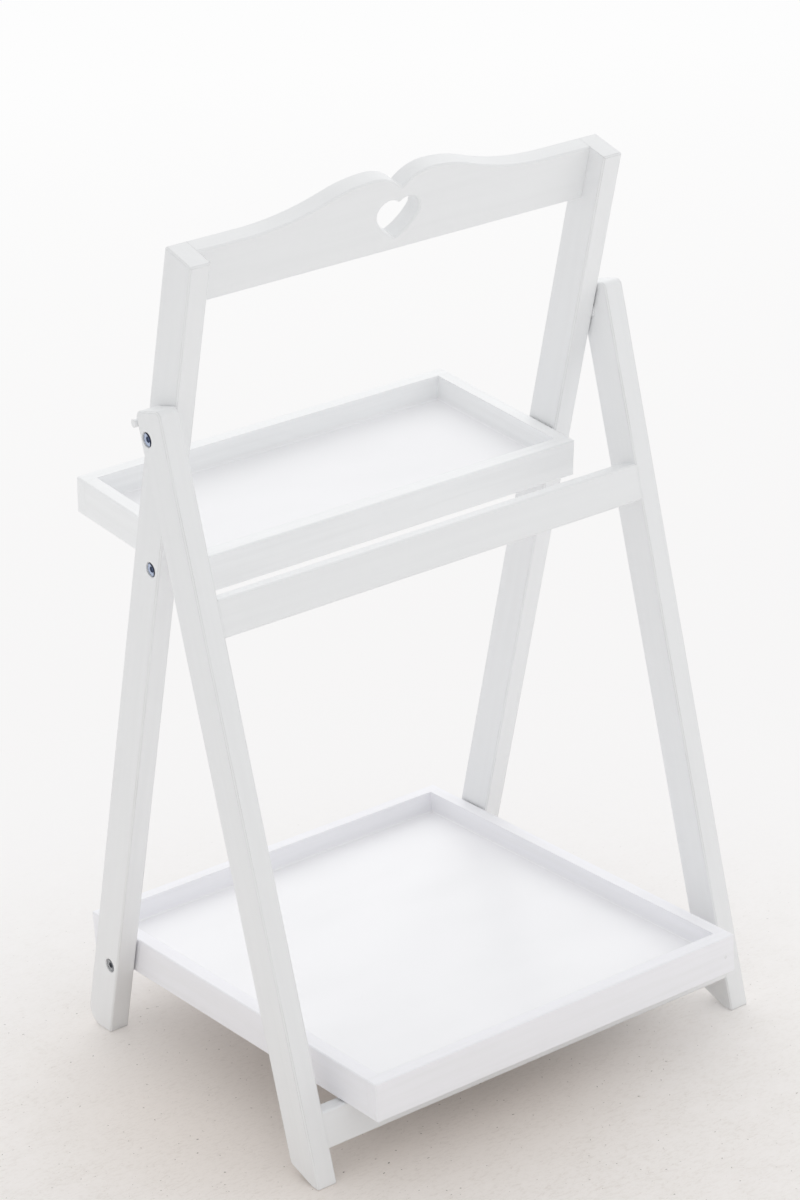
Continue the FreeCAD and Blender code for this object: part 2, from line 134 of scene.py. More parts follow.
class ShelfStage(bpy.types.PropertyGroup):
    near_floor: colour("Near floor", "Warm pale floor round the shelf", "#F8F4F1")
    stain: colour("Stain", "Slightly darker patches of the near floor", "#F4F0EC")
    # Brown painted shadow on the floor under the lower tray
    painted_shadow: colour("Dust", "Browner floor under the lower tray", "#F1EAE4")
    stroke: colour("Trowel stroke", "Marks that the trowel left", "#DDD5CE")
    grit: colour("Grit", "Dark grains in the floor", "#8F877E")
    far_floor: colour("Far floor", "White that the floor fades to", "#FDFDFD")
    near_glow: colour("Near background", "Background where the floor begins to fade", "#F6F5F5")
    backdrop: colour("Backdrop", "White behind everything", "#FDFDFD")
    sky: bpy.props.FloatProperty(
        name="Sky", description="Strength of the even light", min=0, default=0.79)
    key: bpy.props.FloatProperty(
        name="Key", description="Power of the high soft light behind", unit="POWER", min=0,
        default=78)
    fill: bpy.props.FloatProperty(
        name="Fill", description="Power of the soft light from the front right", unit="POWER",
        min=0, default=5)


def add(tree, kind, settings=None, links=None):
    """Adds a node, sets its properties and sockets, and links its inputs."""
    made = tree.nodes.new(kind)
    for key, value in (settings or {}).items():
        if isinstance(key, str) and hasattr(made, key):
            setattr(made, key, value)
        else:
            made.inputs[key].default_value = value
    for key, source in (links or {}).items():
        tree.links.new(source, made.inputs[key])
    return made


def new_material(name):
    """A material whose nodes are all still to be added, and its node tree."""
    made = bpy.data.materials.new(name)
    made.use_nodes = True
    made.node_tree.nodes.clear()
    return made, made.node_tree


def cell_along(axis, along, across):
    """Size in X, Y and Z of a pattern's cell that is long along one axis."""
    return tuple(along if name == axis else across for name in "XYZ")


def brushed_paint(name, axis, tip, rub, arris, white):
    """Brushed satin acrylic on pine. The brush leaves fine ridges along the stick, and the coat
    is a little thinner and greyer in streaks, so wide flats are never one even tone. The arris
    is softened by the paint and rubbed grey in patches."""
    paint = bpy.context.scene.shelf_paint
    streak_run, streak_pitch = 160 * MM, 6.5 * MM
    wear_run, wear_pitch = 70 * MM, 9 * MM
    material, tree = new_material(name)
    place = add(tree, "ShaderNodeTexCoord")
    noises = []
    for run, pitch, detail, roughness in ((paint.brush_run, paint.brush_pitch, 3.0, 0.55),
                                          (streak_run, streak_pitch, 4.0, 0.6),
                                          (wear_run, wear_pitch, 3.0, 0.5)):
        cell = add(tree, "ShaderNodeMapping",
                   {"vector_type": "TEXTURE", "Scale": cell_along(axis, run, pitch),
                    "Rotation": (tip, 0, 0)},
                   {"Vector": place.outputs["Object"]})
        noises.append(add(tree, "ShaderNodeTexNoise",
                          {"Scale": 1.0, "Detail": detail, "Roughness": roughness},
                          {"Vector": cell.outputs[0]}))
    ridge, streak, patch = noises
    thin = add(tree, "ShaderNodeMapRange", {"From Min": 0.4, "From Max": 0.75, "To Max": 0.35},
               {"Value": streak.outputs["Fac"]})
    coat = add(tree, "ShaderNodeMix",
               {"data_type": "RGBA", FIRST: white, SECOND: paint.thin_white},
               {SHARE: thin.outputs[0]})
    soft = add(tree, "ShaderNodeBevel", {"samples": 6, "Radius": arris})
    flat = add(tree, "ShaderNodeNewGeometry")
    turn = add(tree, "ShaderNodeVectorMath", {"operation": "DOT_PRODUCT"},
               {0: soft.outputs[0], 1: flat.outputs["True Normal"]})
    edge = add(tree, "ShaderNodeMapRange", {"From Min": 0.99, "From Max": 0.9, "To Max": rub},
               {"Value": turn.outputs["Value"]})
    worn = add(tree, "ShaderNodeMapRange", {"From Min": 0.4, "From Max": 0.62},
               {"Value": patch.outputs["Fac"]})
    rubbed = add(tree, "ShaderNodeMath", {"operation": "MULTIPLY"},
                 {0: edge.outputs[0], 1: worn.outputs[0]})
    tone = add(tree, "ShaderNodeMix", {"data_type": "RGBA", SECOND: paint.rubbed},
               {SHARE: rubbed.outputs[0], FIRST: coat.outputs[MIXED]})
    gloss = add(tree, "ShaderNodeMapRange",
                {"From Min": 0.3, "From Max": 0.7,
                 "To Min": paint.sheen - 0.06, "To Max": paint.sheen + 0.1},
                {"Value": ridge.outputs["Fac"]})
    relief = add(tree, "ShaderNodeBump", {"Strength": 0.2, "Distance": 0.12 * MM},
                 {"Height": ridge.outputs["Fac"], "Normal": soft.outputs[0]})
    waves = add(tree, "ShaderNodeBump", {"Strength": 0.08, "Distance": 0.3 * MM},
                {"Height": streak.outputs["Fac"], "Normal": relief.outputs[0]})
    shader = add(tree, "ShaderNodeBsdfPrincipled", {"IOR": 1.48, "Specular IOR Level": 0.5},
                 {"Base Color": tone.outputs[MIXED], "Roughness": gloss.outputs[0],
                  "Normal": waves.outputs[0]})
    add(tree, "ShaderNodeOutputMaterial", links={"Surface": shader.outputs[0]})
    return material


def sprayed_paint(name, tip):
    """Sprayed semi-gloss enamel on thin board. It mirrors its surroundings softly, a faint orange
    peel frays the mirrored edges, and broad clouds of thinner coat keep it from one even tone."""
    paint = bpy.context.scene.shelf_paint
    peel_cell = (3 * MM, 3 * MM, 3 * MM)
    cloud_cell = (120 * MM, 60 * MM, 60 * MM)
    material, tree = new_material(name)
    place = add(tree, "ShaderNodeTexCoord")
    peel_place, cloud_place = (
        add(tree, "ShaderNodeMapping",
            {"vector_type": "TEXTURE", "Scale": cell, "Rotation": (tip, 0, 0)},
            {"Vector": place.outputs["Object"]})
        for cell in (peel_cell, cloud_cell))
    peel = add(tree, "ShaderNodeTexNoise", {"Scale": 1.0, "Detail": 1.0},
               {"Vector": peel_place.outputs[0]})
    cloud = add(tree, "ShaderNodeTexNoise", {"Scale": 1.0, "Detail": 1.5},
                {"Vector": cloud_place.outputs[0]})
    thin = add(tree, "ShaderNodeMapRange",
               {"interpolation_type": "SMOOTHSTEP",
                "From Min": 0.35, "From Max": 0.85, "To Max": 0.18},
               {"Value": cloud.outputs["Fac"]})
    tone = add(tree, "ShaderNodeMix",
               {"data_type": "RGBA", FIRST: paint.panel_white, SECOND: paint.thin_white},
               {SHARE: thin.outputs[0]})
    relief = add(tree, "ShaderNodeBump", {"Strength": 0.03, "Distance": 0.05 * MM},
                 {"Height": peel.outputs["Fac"]})
    shader = add(tree, "ShaderNodeBsdfPrincipled", {"Roughness": paint.panel_sheen, "IOR": 1.52},
                 {"Base Color": tone.outputs[MIXED], "Normal": relief.outputs[0]})
    add(tree, "ShaderNodeOutputMaterial", links={"Surface": shader.outputs[0]})
    return material


def zinc_plate(name, axis_place, plate, shade_share=0.0):
    """Bright zinc plate on steel, rolled and tumbled: small scratches every way over a blue-grey
    mirror that is never quite sharp. Blue-black painted shade darkens the hexagon socket, a
    crescent of painted shade and painted reflection lies over the head's upper front, and a fine
    ring of painted shade marks where the head's bevel meets the pocket."""
    metal = bpy.context.scene.shelf_hardware
    scuff_cell = (1.1 * MM, 1.1 * MM, 1.1 * MM)
    fray = (0, 0.9 * MM, 0.9 * MM)  # how far the scratches fray the edge of the painted shade and reflection across the head
    socket_blur, crescent_blur = 0.1 * MM, 0.4 * MM
    ring_width, ring_margin = 0.75 * MM, 0.1 * MM
    material, tree = new_material(name)
    place = add(tree, "ShaderNodeTexCoord")
    scuff_place = add(tree, "ShaderNodeMapping", {"vector_type": "TEXTURE", "Scale": scuff_cell},
                      {"Vector": place.outputs["Object"]})
    scuff = add(tree, "ShaderNodeTexNoise", {"Scale": 1.0, "Detail": 5.0, "Roughness": 0.7},
                {"Vector": scuff_place.outputs[0]})
    gloss = add(tree, "ShaderNodeMapRange",
                {"From Min": 0.3, "From Max": 0.7, "To Min": 0.22, "To Max": 0.42},
                {"Value": scuff.outputs["Fac"]})
    relief = add(tree, "ShaderNodeBump", {"Strength": 0.15, "Distance": 0.08 * MM},
                 {"Height": scuff.outputs["Fac"]})
    surface = add(tree, "ShaderNodeBsdfPrincipled", {"Base Color": plate, "Metallic": 1.0},
                  {"Roughness": gloss.outputs[0], "Normal": relief.outputs[0]})
    # Painted shade in the socket and round the head's rim, and a crescent of painted shade and
    # painted reflection
    if shade_share:
        offset = add(tree, "ShaderNodeVectorMath", {"operation": "SUBTRACT", 1: axis_place},
                     {0: place.outputs["Object"]})
        across = add(tree, "ShaderNodeVectorMath", {"operation": "MULTIPLY", 1: (0, 1, 1)},
                     {0: offset.outputs[0]})
        reach = add(tree, "ShaderNodeVectorMath", {"operation": "LENGTH"},
                    {0: across.outputs[0]})
        # Painted shade inside the hexagon socket
        socket = add(tree, "ShaderNodeMapRange",
                     {"From Min": metal.socket_reach + socket_blur,
                      "From Max": metal.socket_reach - socket_blur, "To Max": 0.35 * shade_share},
                     {"Value": reach.outputs["Value"]})
        # Crescent of painted shade and painted reflection over the head's upper front, frayed by
        # the scratches
        crept = add(tree, "ShaderNodeVectorMath", {"operation": "MULTIPLY_ADD", 1: fray},
                    {0: scuff.outputs["Color"], 2: across.outputs[0]})
        clean = add(tree, "ShaderNodeVectorMath",
                    {"operation": "DISTANCE", 1: metal.unshaded_place}, {0: crept.outputs[0]})
        crescent = add(tree, "ShaderNodeMapRange",
                       {"From Min": metal.unshaded_reach - crescent_blur,
                        "From Max": metal.unshaded_reach + crescent_blur, "To Max": shade_share},
                       {"Value": clean.outputs["Value"]})
        # Ring of painted shade where the head's bevel meets the pocket
        ring = add(tree, "ShaderNodeMapRange",
                   {"From Min": metal.head_reach - ring_width,
                    "From Max": metal.head_reach - ring_margin, "To Max": 0.4},
                   {"Value": reach.outputs["Value"]})
        shaded = add(tree, "ShaderNodeMath", {"operation": "MAXIMUM"},
                    {0: socket.outputs[0], 1: crescent.outputs[0]})
        dark = add(tree, "ShaderNodeMath", {"operation": "MAXIMUM"},
                   {0: shaded.outputs[0], 1: ring.outputs[0]})
        # The blue-black coat that paints this shade and reflection
        film = add(tree, "ShaderNodeBsdfPrincipled",
                   {"Base Color": metal.painted_shade, "Roughness": 0.45, "IOR": 1.45,
                    "Specular IOR Level": 0.1})
        surface = add(tree, "ShaderNodeMixShader",
                      links={0: dark.outputs[0], 1: surface.outputs[0], 2: film.outputs[0]})
    add(tree, "ShaderNodeOutputMaterial", links={"Surface": surface.outputs[0]})
    return material


def bare_beech(name, axis):
    """Turned beech dowel stock, sanded but not painted: short dark rays along a pink-brown
    grain."""
    metal = bpy.context.scene.shelf_hardware
    ray_run, ray_width = 9 * MM, 0.7 * MM
    material, tree = new_material(name)
    place = add(tree, "ShaderNodeTexCoord")
    ray_place = add(tree, "ShaderNodeMapping",
                    {"vector_type": "TEXTURE", "Scale": cell_along(axis, ray_run, ray_width)},
                    {"Vector": place.outputs["Object"]})
    ray = add(tree, "ShaderNodeTexNoise", {"Scale": 1.0, "Detail": 4.0},
              {"Vector": ray_place.outputs[0]})
    amount = add(tree, "ShaderNodeMapRange", {"From Min": 0.45, "From Max": 0.7, "To Max": 0.6},
                 {"Value": ray.outputs["Fac"]})
    tone = add(tree, "ShaderNodeMix",
               {"data_type": "RGBA", FIRST: metal.beech, SECOND: metal.beech_ray},
               {SHARE: amount.outputs[0]})
    relief = add(tree, "ShaderNodeBump", {"Strength": 0.3, "Distance": 0.1 * MM},
                 {"Height": ray.outputs["Fac"]})
    shader = add(tree, "ShaderNodeBsdfPrincipled", {"Roughness": 0.6, "IOR": 1.5},
                 {"Base Color": tone.outputs[MIXED], "Normal": relief.outputs[0]})
    add(tree, "ShaderNodeOutputMaterial", links={"Surface": shader.outputs[0]})
    return material


def nail_filler(name):
    """Knife-grade filler over a punched nail, seen through one coat of paint: a small grey
    smudge."""
    paint = bpy.context.scene.shelf_paint
    speck_cell = (1.3 * MM, 1.3 * MM, 1.3 * MM)
    material, tree = new_material(name)
    place = add(tree, "ShaderNodeTexCoord")
    speck_place = add(tree, "ShaderNodeMapping", {"vector_type": "TEXTURE", "Scale": speck_cell},
                      {"Vector": place.outputs["Object"]})
    speck = add(tree, "ShaderNodeTexNoise", {"Scale": 1.0, "Detail": 3.0},
                {"Vector": speck_place.outputs[0]})
    amount = add(tree, "ShaderNodeMapRange", {"From Min": 0.4, "From Max": 0.65},
                 {"Value": speck.outputs["Fac"]})
    tone = add(tree, "ShaderNodeMix",
               {"data_type": "RGBA", FIRST: paint.filler, SECOND: paint.filler_speck},
               {SHARE: amount.outputs[0]})
    relief = add(tree, "ShaderNodeBump", {"Strength": 0.2, "Distance": 0.1 * MM},
                 {"Height": speck.outputs["Fac"]})
    shader = add(tree, "ShaderNodeBsdfPrincipled", {"Roughness": 0.65, "IOR": 1.48},
                 {"Base Color": tone.outputs[MIXED], "Normal": relief.outputs[0]})
    add(tree, "ShaderNodeOutputMaterial", links={"Surface": shader.outputs[0]})
    return material


def dress(names, material):
    """Puts one material in the slots of CAD nodes."""
    for name in names:
        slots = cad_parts[name].data.materials
        slots.clear()
        slots.append(material)


def deselect():
    for each in bpy.context.selected_objects:
        each.select_set(False)


def block(middle, size):
    """A box at its place and size, to be shaped in edit mode."""
    deselect()
    bpy.ops.mesh.primitive_cube_add(size=1, location=middle, scale=size)
    bpy.ops.object.transform_apply(location=True, rotation=False, scale=True)
    return bpy.context.active_object


def pick(piece, kind, wanted):
    """Goes to edit mode with only the wanted faces or edges selected: a face is tested by its
    normal, and an edge by the places of both its ends."""
    bpy.ops.object.mode_set(mode="EDIT")
    bpy.ops.mesh.select_mode(type=kind)
    bpy.ops.mesh.select_all(action="DESELECT")
    bpy.ops.object.mode_set(mode="OBJECT")
    mesh = piece.data
    if kind == "FACE":
        for face in mesh.polygons:
            face.select = wanted(face.normal)
    else:
        for edge in mesh.edges:
            edge.select = all(wanted(mesh.vertices[i].co) for i in edge.vertices)
    bpy.ops.object.mode_set(mode="EDIT")


def copied(model, name, move):
    """A copy of a modelled piece with its own mesh, moved to its place."""
    made = model.copy()
    made.data = model.data.copy()
    made.data.transform(move)
    bpy.context.collection.objects.link(made)
    made.name = name
    return made


def level_box(name, tip):
    """Lowest and highest corner of a CAD node when its own tip about X is turned back."""
    level = Matrix.Rotation(-tip, 4, "X")
    corners = [level @ v.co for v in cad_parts[name].data.vertices]
    return [Vector([most(c[i] for c in corners) for i in range(3)]) for most in (min, max)]


class ShelfPaintSticks(bpy.types.Operator):
    """Paints the stiles, legs, crossbars, top rail, pins and the washers at the hinges"""
    bl_idname = "shelf.paint_sticks"
    bl_label = "Paint the sticks"

    def execute(self, context):
        paint = context.scene.shelf_paint
        stick, slim = paint.arris, paint.wall_arris
        for names, words, axis, tip, rub, arris in (
                (("left_stile", "right_stile"), "stiles", "Z", STILE_TIP, 0.8, stick),
                (("left_leg", "right_leg"), "legs", "Z", LEG_TIP, 0.8, stick),
                (("upper_crossbar", "lower_crossbar"), "crossbars", "X", LEG_TIP, 0.15, slim),
                (("top_rail",), "top rail", "X", STILE_TIP, 0.15, slim),
                (("stop_pins", "tray_rest_pins"), "pins", "X", STILE_TIP, 0.5, slim),
                (("hinge_washers",), "hinge washers", "X", STILE_TIP, 0.0, slim)):
            dress(names, brushed_paint("satin paint, " + words, axis, tip, rub, arris, paint.white))
        return {"FINISHED"}


class ShelfPaintTrays(bpy.types.Operator):
    """Paints the walls of both trays with the brush and sprays their floors"""
    bl_idname = "shelf.paint_trays"
    bl_label = "Paint the trays"

    def execute(self, context):
        paint = context.scene.shelf_paint
        whites = {"upper_tray": paint.tray_white, "lower_tray": paint.low_white}
        rub = 0.2
        for tray, tip in TRAY_TIPS.items():
            words = tray.replace("_", " ")
            for pair, axis, part in ((("_front_wall", "_rear_wall"), "X", " ends"),
                                     (("_left_wall", "_right_wall"), "Y", " sides")):
                dress([tray + wall for wall in pair],
                      brushed_paint("satin paint, " + words + part, axis, tip, rub,
                                    paint.wall_arris, whites[tray]))
            dress([tray + "_panel"], sprayed_paint("semi-gloss enamel, " + words + " floor", tip))
        return {"FINISHED"}


class ShelfPaintBeads(bpy.types.Operator):
    """Runs a bead of paint round each tray's floor, where the paint fills the groove's gap"""
    bl_idname = "shelf.paint_beads"
    bl_label = "Fill the floors' edges"

    def execute(self, context):
        bead = context.scene.shelf_paint.bead
        sunk = 0.1 * MM  # into the walls and the floor
        for tray, tip in TRAY_TIPS.items():
            left, right, front, rear, panel = (
                level_box(tray + part, tip)
                for part in ("_left_wall", "_right_wall", "_front_wall", "_rear_wall", "_panel"))
            wide = right[0].x - left[1].x + 2 * sunk
            deep = rear[0].y - front[1].y + 2 * sunk
            middle = Vector(((left[1].x + right[0].x) / 2, (front[1].y + rear[0].y) / 2,
                             panel[1].z - sunk + bead / 2))
            ring = block(middle, (wide, deep, bead))
            pick(ring, "FACE", lambda normal: abs(normal.z) > 0.9)
            bpy.ops.mesh.inset(thickness=bead, use_individual=True)
            bpy.ops.mesh.bridge_edge_loops()
            pick(ring, "EDGE", lambda end: end.z > middle.z
                 and abs(end.x - middle.x) < (wide - bead) / 2
                 and abs(end.y - middle.y) < (deep - bead) / 2)
            bpy.ops.mesh.bevel(offset=0.9 * bead, segments=4, profile=0.15, affect="EDGES")
            bpy.ops.object.mode_set(mode="OBJECT")
            bpy.ops.object.shade_smooth_by_angle(angle=math.radians(40))
            ring.name = tray + "_paint_bead"
            ring.data.transform(Matrix.Rotation(tip, 4, "X"))
            words = tray.replace("_", " ")
            ring.data.materials.append(sprayed_paint("semi-gloss enamel, " + words + " bead", tip))
            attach(ring, tray)
        return {"FINISHED"}


def seam_strip(seam, lap, sag, height):
    """One strip of paint for the groove at a crossbar's right end, modelled at the origin and
    facing -Y. Its hidden corner is cut off to follow the leg's bevel, and its face sags."""
    strip = block((0, 0, 0), (seam + lap, seam, height))
    pick(strip, "EDGE", lambda end: end.x > 0 and end.y > 0)
    bpy.ops.mesh.bevel(offset=0.9 * seam, segments=1, affect="EDGES")
    pick(strip, "FACE", lambda normal: normal.y < -0.9)
    bpy.ops.mesh.inset(thickness=0.25 * seam, depth=-sag)
    bpy.ops.object.mode_set(mode="OBJECT")
    return strip


class ShelfFillSeams(bpy.types.Operator):
    """Fills the grooves in front where the crossbars meet the legs' bevelled edges"""
    bl_idname = "shelf.fill_seams"
    bl_label = "Fill the crossbar seams"

    def execute(self, context):
        seam = context.scene.shelf_paint.seam
        sag = 0.03 * MM  # of the paint behind the crossbar's face
        lap = 0.05 * MM  # into the crossbar's end
        short = 0.9 * MM  # of the crossbar's top and bottom
        low, high = level_box("upper_crossbar", LEG_TIP)
        model = seam_strip(seam, lap, sag, high.z - low.z - 2 * short)
        for bar in ("upper_crossbar", "lower_crossbar"):
            low, high = level_box(bar, LEG_TIP)
            for side, sign, turned in (("left", -1, math.pi), ("right", 1, 0.0)):
                place = Vector((sign * (high.x + (seam - lap) / 2), low.y + sag + seam / 2,
                                (low.z + high.z) / 2))
                strip = copied(model, bar + "_seam_" + side,
                               Matrix.Rotation(LEG_TIP, 4, "X") @ Matrix.Translation(place)
                               @ Matrix.Rotation(turned, 4, "Y"))
                strip.data.materials.append(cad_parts[bar].data.materials[0])
                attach(strip, "leg_frame")
        bpy.data.objects.remove(model)
        return {"FINISHED"}


class ShelfPlateHardware(bpy.types.Operator):
    """Plates the bolts, washers and threaded inserts, and leaves the dowels bare"""
    bl_idname = "shelf.plate_hardware"
    bl_label = "Plate the hardware"

    def execute(self, context):
        metal = context.scene.shelf_hardware
        # The last number is how strongly each group's bolts take the painted shade and reflection
        for group, plate, shade_share in (("hinge", metal.zinc, 1.0), ("upper_tray", metal.zinc, 1.0),
                                     ("lower_tray", metal.tarnish, 0.6)):
            low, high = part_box(group + "_bolts")
            middle = (Vector(low) + Vector(high)) / 2
            words = group.replace("_", " ")
            dress([group + "_bolts"],
                  zinc_plate("zinc plate, " + words + " bolts", middle, plate, shade_share))
        plain = zinc_plate("zinc plate, rings", (0, 0, 0), metal.tarnish)
        dress(["upper_tray_washers", "lower_tray_washers"], plain)
        dress(["hinge_inserts", "upper_tray_inserts", "lower_tray_inserts"], plain)
        dress(["rail_dowels", "crossbar_dowels"], bare_beech("bare beech", "X"))
        return {"FINISHED"}


def nail_spot(diameter):
    """One filled nail head as a low dome, modelled at the origin and facing -Y. Its front is
    0.36 mm from its middle."""
    deselect()
    bpy.ops.mesh.primitive_cylinder_add(vertices=20, radius=diameter / 2, depth=0.5 * MM,
                                        rotation=(math.pi / 2, 0, 0))
    spot = bpy.context.active_object
    bpy.ops.object.transform_apply(location=False, rotation=True, scale=False)
    pick(spot, "FACE", lambda normal: normal.y < -0.9)
    bpy.ops.mesh.inset(thickness=diameter * 0.16, depth=0.08 * MM)
    bpy.ops.mesh.inset(thickness=diameter * 0.14, depth=0.03 * MM)
    bpy.ops.object.mode_set(mode="OBJECT")
    bpy.ops.object.shade_smooth_by_angle(angle=math.radians(30))
    return spot


class ShelfNailHeads(bpy.types.Operator):
    """Sets a filled nail head near each end of the trays' front and rear walls. All but the
    one at the lower tray's front right are painted over"""
    bl_idname = "shelf.nail_heads"
    bl_label = "Fill the nail heads"

    def execute(self, context):
        metal = context.scene.shelf_hardware
        filler = nail_filler("filler over nails")
        model = nail_spot(metal.nail_head)
        sunk = 0.32 * MM  # middle of a spot behind the wall's face, so that it stands 0.04 mm out
        inside = 4 * MM  # a nail from the middle of the side wall, towards the tray's middle
        for tray, tip in TRAY_TIPS.items():
            for wall, turned in (("front", 0.0), ("rear", math.pi)):
                node = tray + "_" + wall + "_wall"
                low, high = level_box(node, tip)
                across = high.x - (high.y - low.y) / 2 - inside
                face = low.y + sunk if wall == "front" else high.y - sunk
                for side, sign in (("left", -1), ("right", 1)):
                    place = Vector((sign * across, face, low.z + metal.nail_height))
                    spot = copied(model, tray + "_" + wall + "_nail_" + side,
                                  Matrix.Rotation(tip, 4, "X") @ Matrix.Translation(place)
                                  @ Matrix.Rotation(turned, 4, "Z"))
                    shows = (tray, wall, side) == ("lower_tray", "front", "right")
                    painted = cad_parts[node].data.materials[0]
                    spot.data.materials.append(filler if shows else painted)
                    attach(spot, tray)
        bpy.data.objects.remove(model)
        return {"FINISHED"}


def soft_light(name, place, aim, width, height, power):
    """A large lamp that neither the camera nor a mirror sees."""
    lamp = bpy.data.lights.new(name, "AREA")
    lamp.shape = "RECTANGLE"
    lamp.size, lamp.size_y, lamp.energy = width, height, power
    made = bpy.data.objects.new(name, lamp)
    bpy.context.collection.objects.link(made)
    made.location = place
    made.rotation_euler = (Vector(aim) - Vector(place)).to_track_quat("-Z", "Y").to_euler()
    made.visible_camera = False
    made.visible_glossy = False


def sight(tree):
    """1 on a ray by which the eye sees something, straight, mirrored or through glass, and 0 on
    a ray that only lights it."""
    ray = add(tree, "ShaderNodeLightPath")
    opaque = add(tree, "ShaderNodeMath", {"operation": "MAXIMUM"},
                 {0: ray.outputs["Is Camera Ray"], 1: ray.outputs["Is Glossy Ray"]})
    every = add(tree, "ShaderNodeMath", {"operation": "MAXIMUM"},
                {0: opaque.outputs[0], 1: ray.outputs["Is Transmission Ray"]})
    return every.outputs[0]


def floor_material():
    """Pale sealed concrete, trowelled in short strokes with a little dark grit, with a brown
    painted shadow under the lower tray, that fades into the white background behind the shelf."""
    stage = bpy.context.scene.shelf_stage
    stain_size, grit_size = 34 * MM, 4.2 * MM
    stroke_cell = (6.5 * MM, 3.2 * MM, 1)
    shadow_place = (-0.08, -0.02, 0)  # middle of the brown painted shadow, under the lower tray
    shadow_reach, shadow_core = 0.36, 0.16  # metres from there to where it begins and is whole
    fade_place = (-0.17, -0.17, 0)  # where the floor is clearest, to fade all round
    material, tree = new_material("pale sealed concrete")
    place = add(tree, "ShaderNodeTexCoord")
    broad = add(tree, "ShaderNodeTexNoise",
                {"Scale": 1 / stain_size, "Detail": 7.0, "Roughness": 0.7},
                {"Vector": place.outputs["Object"]})
    stain = add(tree, "ShaderNodeMapRange", {"From Min": 0.35, "From Max": 0.7},
                {"Value": broad.outputs["Fac"]})
    stained = add(tree, "ShaderNodeMix",
                  {"data_type": "RGBA", FIRST: stage.near_floor, SECOND: stage.stain},
                  {SHARE: stain.outputs[0]})
    # Brown painted shadow: the floor is browner under the lower tray, fading out from there
    inward = add(tree, "ShaderNodeVectorMath", {"operation": "DISTANCE", 1: shadow_place},
                 {0: place.outputs["Object"]})
    painted_shadow = add(tree, "ShaderNodeMapRange",
               {"interpolation_type": "SMOOTHSTEP", "From Min": shadow_reach, "From Max": shadow_core},
               {"Value": inward.outputs["Value"]})
    shadowed = add(tree, "ShaderNodeMix", {"data_type": "RGBA", SECOND: stage.painted_shadow},
                {SHARE: painted_shadow.outputs[0], FIRST: stained.outputs[MIXED]})
    trowel = add(tree, "ShaderNodeMapping", {"vector_type": "TEXTURE", "Scale": stroke_cell},
                 {"Vector": place.outputs["Object"]})
    mark = add(tree, "ShaderNodeTexNoise",
               {"Scale": 1.0, "Detail": 6.0, "Roughness": 0.8, "Distortion": 0.6},
               {"Vector": trowel.outputs[0]})
    depth = add(tree, "ShaderNodeMapRange",
                {"From Min": 0.35, "From Max": 0.6, "To Min": 0.25, "To Max": 0.85},
                {"Value": broad.outputs["Fac"]})
    stroke = add(tree, "ShaderNodeMapRange", {"From Min": 0.48, "From Max": 0.74},
                 {"Value": mark.outputs["Fac"], "To Max": depth.outputs[0]})
    trowelled = add(tree, "ShaderNodeMix", {"data_type": "RGBA", SECOND: stage.stroke},
                    {SHARE: stroke.outputs[0], FIRST: shadowed.outputs[MIXED]})
    grain = add(tree, "ShaderNodeTexNoise",
                {"Scale": 1 / grit_size, "Detail": 2.0, "Roughness": 0.6},
                {"Vector": place.outputs["Object"]})
    grit = add(tree, "ShaderNodeMapRange", {"From Min": 0.7, "From Max": 0.74, "To Max": 0.9},
               {"Value": grain.outputs["Fac"]})
    near = add(tree, "ShaderNodeMix", {"data_type": "RGBA", SECOND: stage.grit},
               {SHARE: grit.outputs[0], FIRST: trowelled.outputs[MIXED]})
    apart = add(tree, "ShaderNodeVectorMath", {"operation": "DISTANCE", 1: fade_place},
                {0: place.outputs["Object"]})
    fade = add(tree, "ShaderNodeMapRange",
               {"interpolation_type": "SMOOTHSTEP", "From Min": 0.15, "From Max": 1.1},
               {"Value": apart.outputs["Value"]})
    tone = add(tree, "ShaderNodeMix", {"data_type": "RGBA", SECOND: stage.far_floor},
               {SHARE: fade.outputs[0], FIRST: near.outputs[MIXED]})
    ground = add(tree, "ShaderNodeBsdfDiffuse", {"Roughness": 0.4}, {"Color": tone.outputs[MIXED]})
    # Away from the shelf the floor is seen more and more as background, which takes no shadow
    glow_fade = add(tree, "ShaderNodeMapRange",
                    {"interpolation_type": "SMOOTHSTEP", "From Min": 0.12, "From Max": 1.0},
                    {"Value": apart.outputs["Value"]})
    amount = add(tree, "ShaderNodeMath", {"operation": "MULTIPLY"},
                 {0: sight(tree), 1: glow_fade.outputs[0]})
    rise = add(tree, "ShaderNodeMapRange", {"From Min": 0.7, "From Max": 4.0},
               {"Value": apart.outputs["Value"]})
    glow = add(tree, "ShaderNodeMix",
               {"data_type": "RGBA", FIRST: stage.near_glow, SECOND: stage.far_floor},
               {SHARE: rise.outputs[0]})
    white = add(tree, "ShaderNodeEmission", {"Strength": 1.0}, {"Color": glow.outputs[MIXED]})
    mixed = add(tree, "ShaderNodeMixShader",
                links={0: amount.outputs[0], 1: ground.outputs[0], 2: white.outputs[0]})
    add(tree, "ShaderNodeOutputMaterial", links={"Surface": mixed.outputs[0]})
    return material


def studio_world():
    """Even white light on the shelf, behind which the eye sees a plain white."""
    stage = bpy.context.scene.shelf_stage
    world = bpy.data.worlds.new("studio")
    bpy.context.scene.world = world
    world.use_nodes = True
    tree = world.node_tree
    tree.nodes.clear()
    light = add(tree, "ShaderNodeBackground", {"Color": linear("#FFFFFF"), "Strength": stage.sky})
    white = add(tree, "ShaderNodeBackground", {"Color": stage.backdrop, "Strength": 1.0})
    mixed = add(tree, "ShaderNodeMixShader",
                links={0: sight(tree), 1: light.outputs[0], 2: white.outputs[0]})
    add(tree, "ShaderNodeOutputWorld", links={"Surface": mixed.outputs[0]})


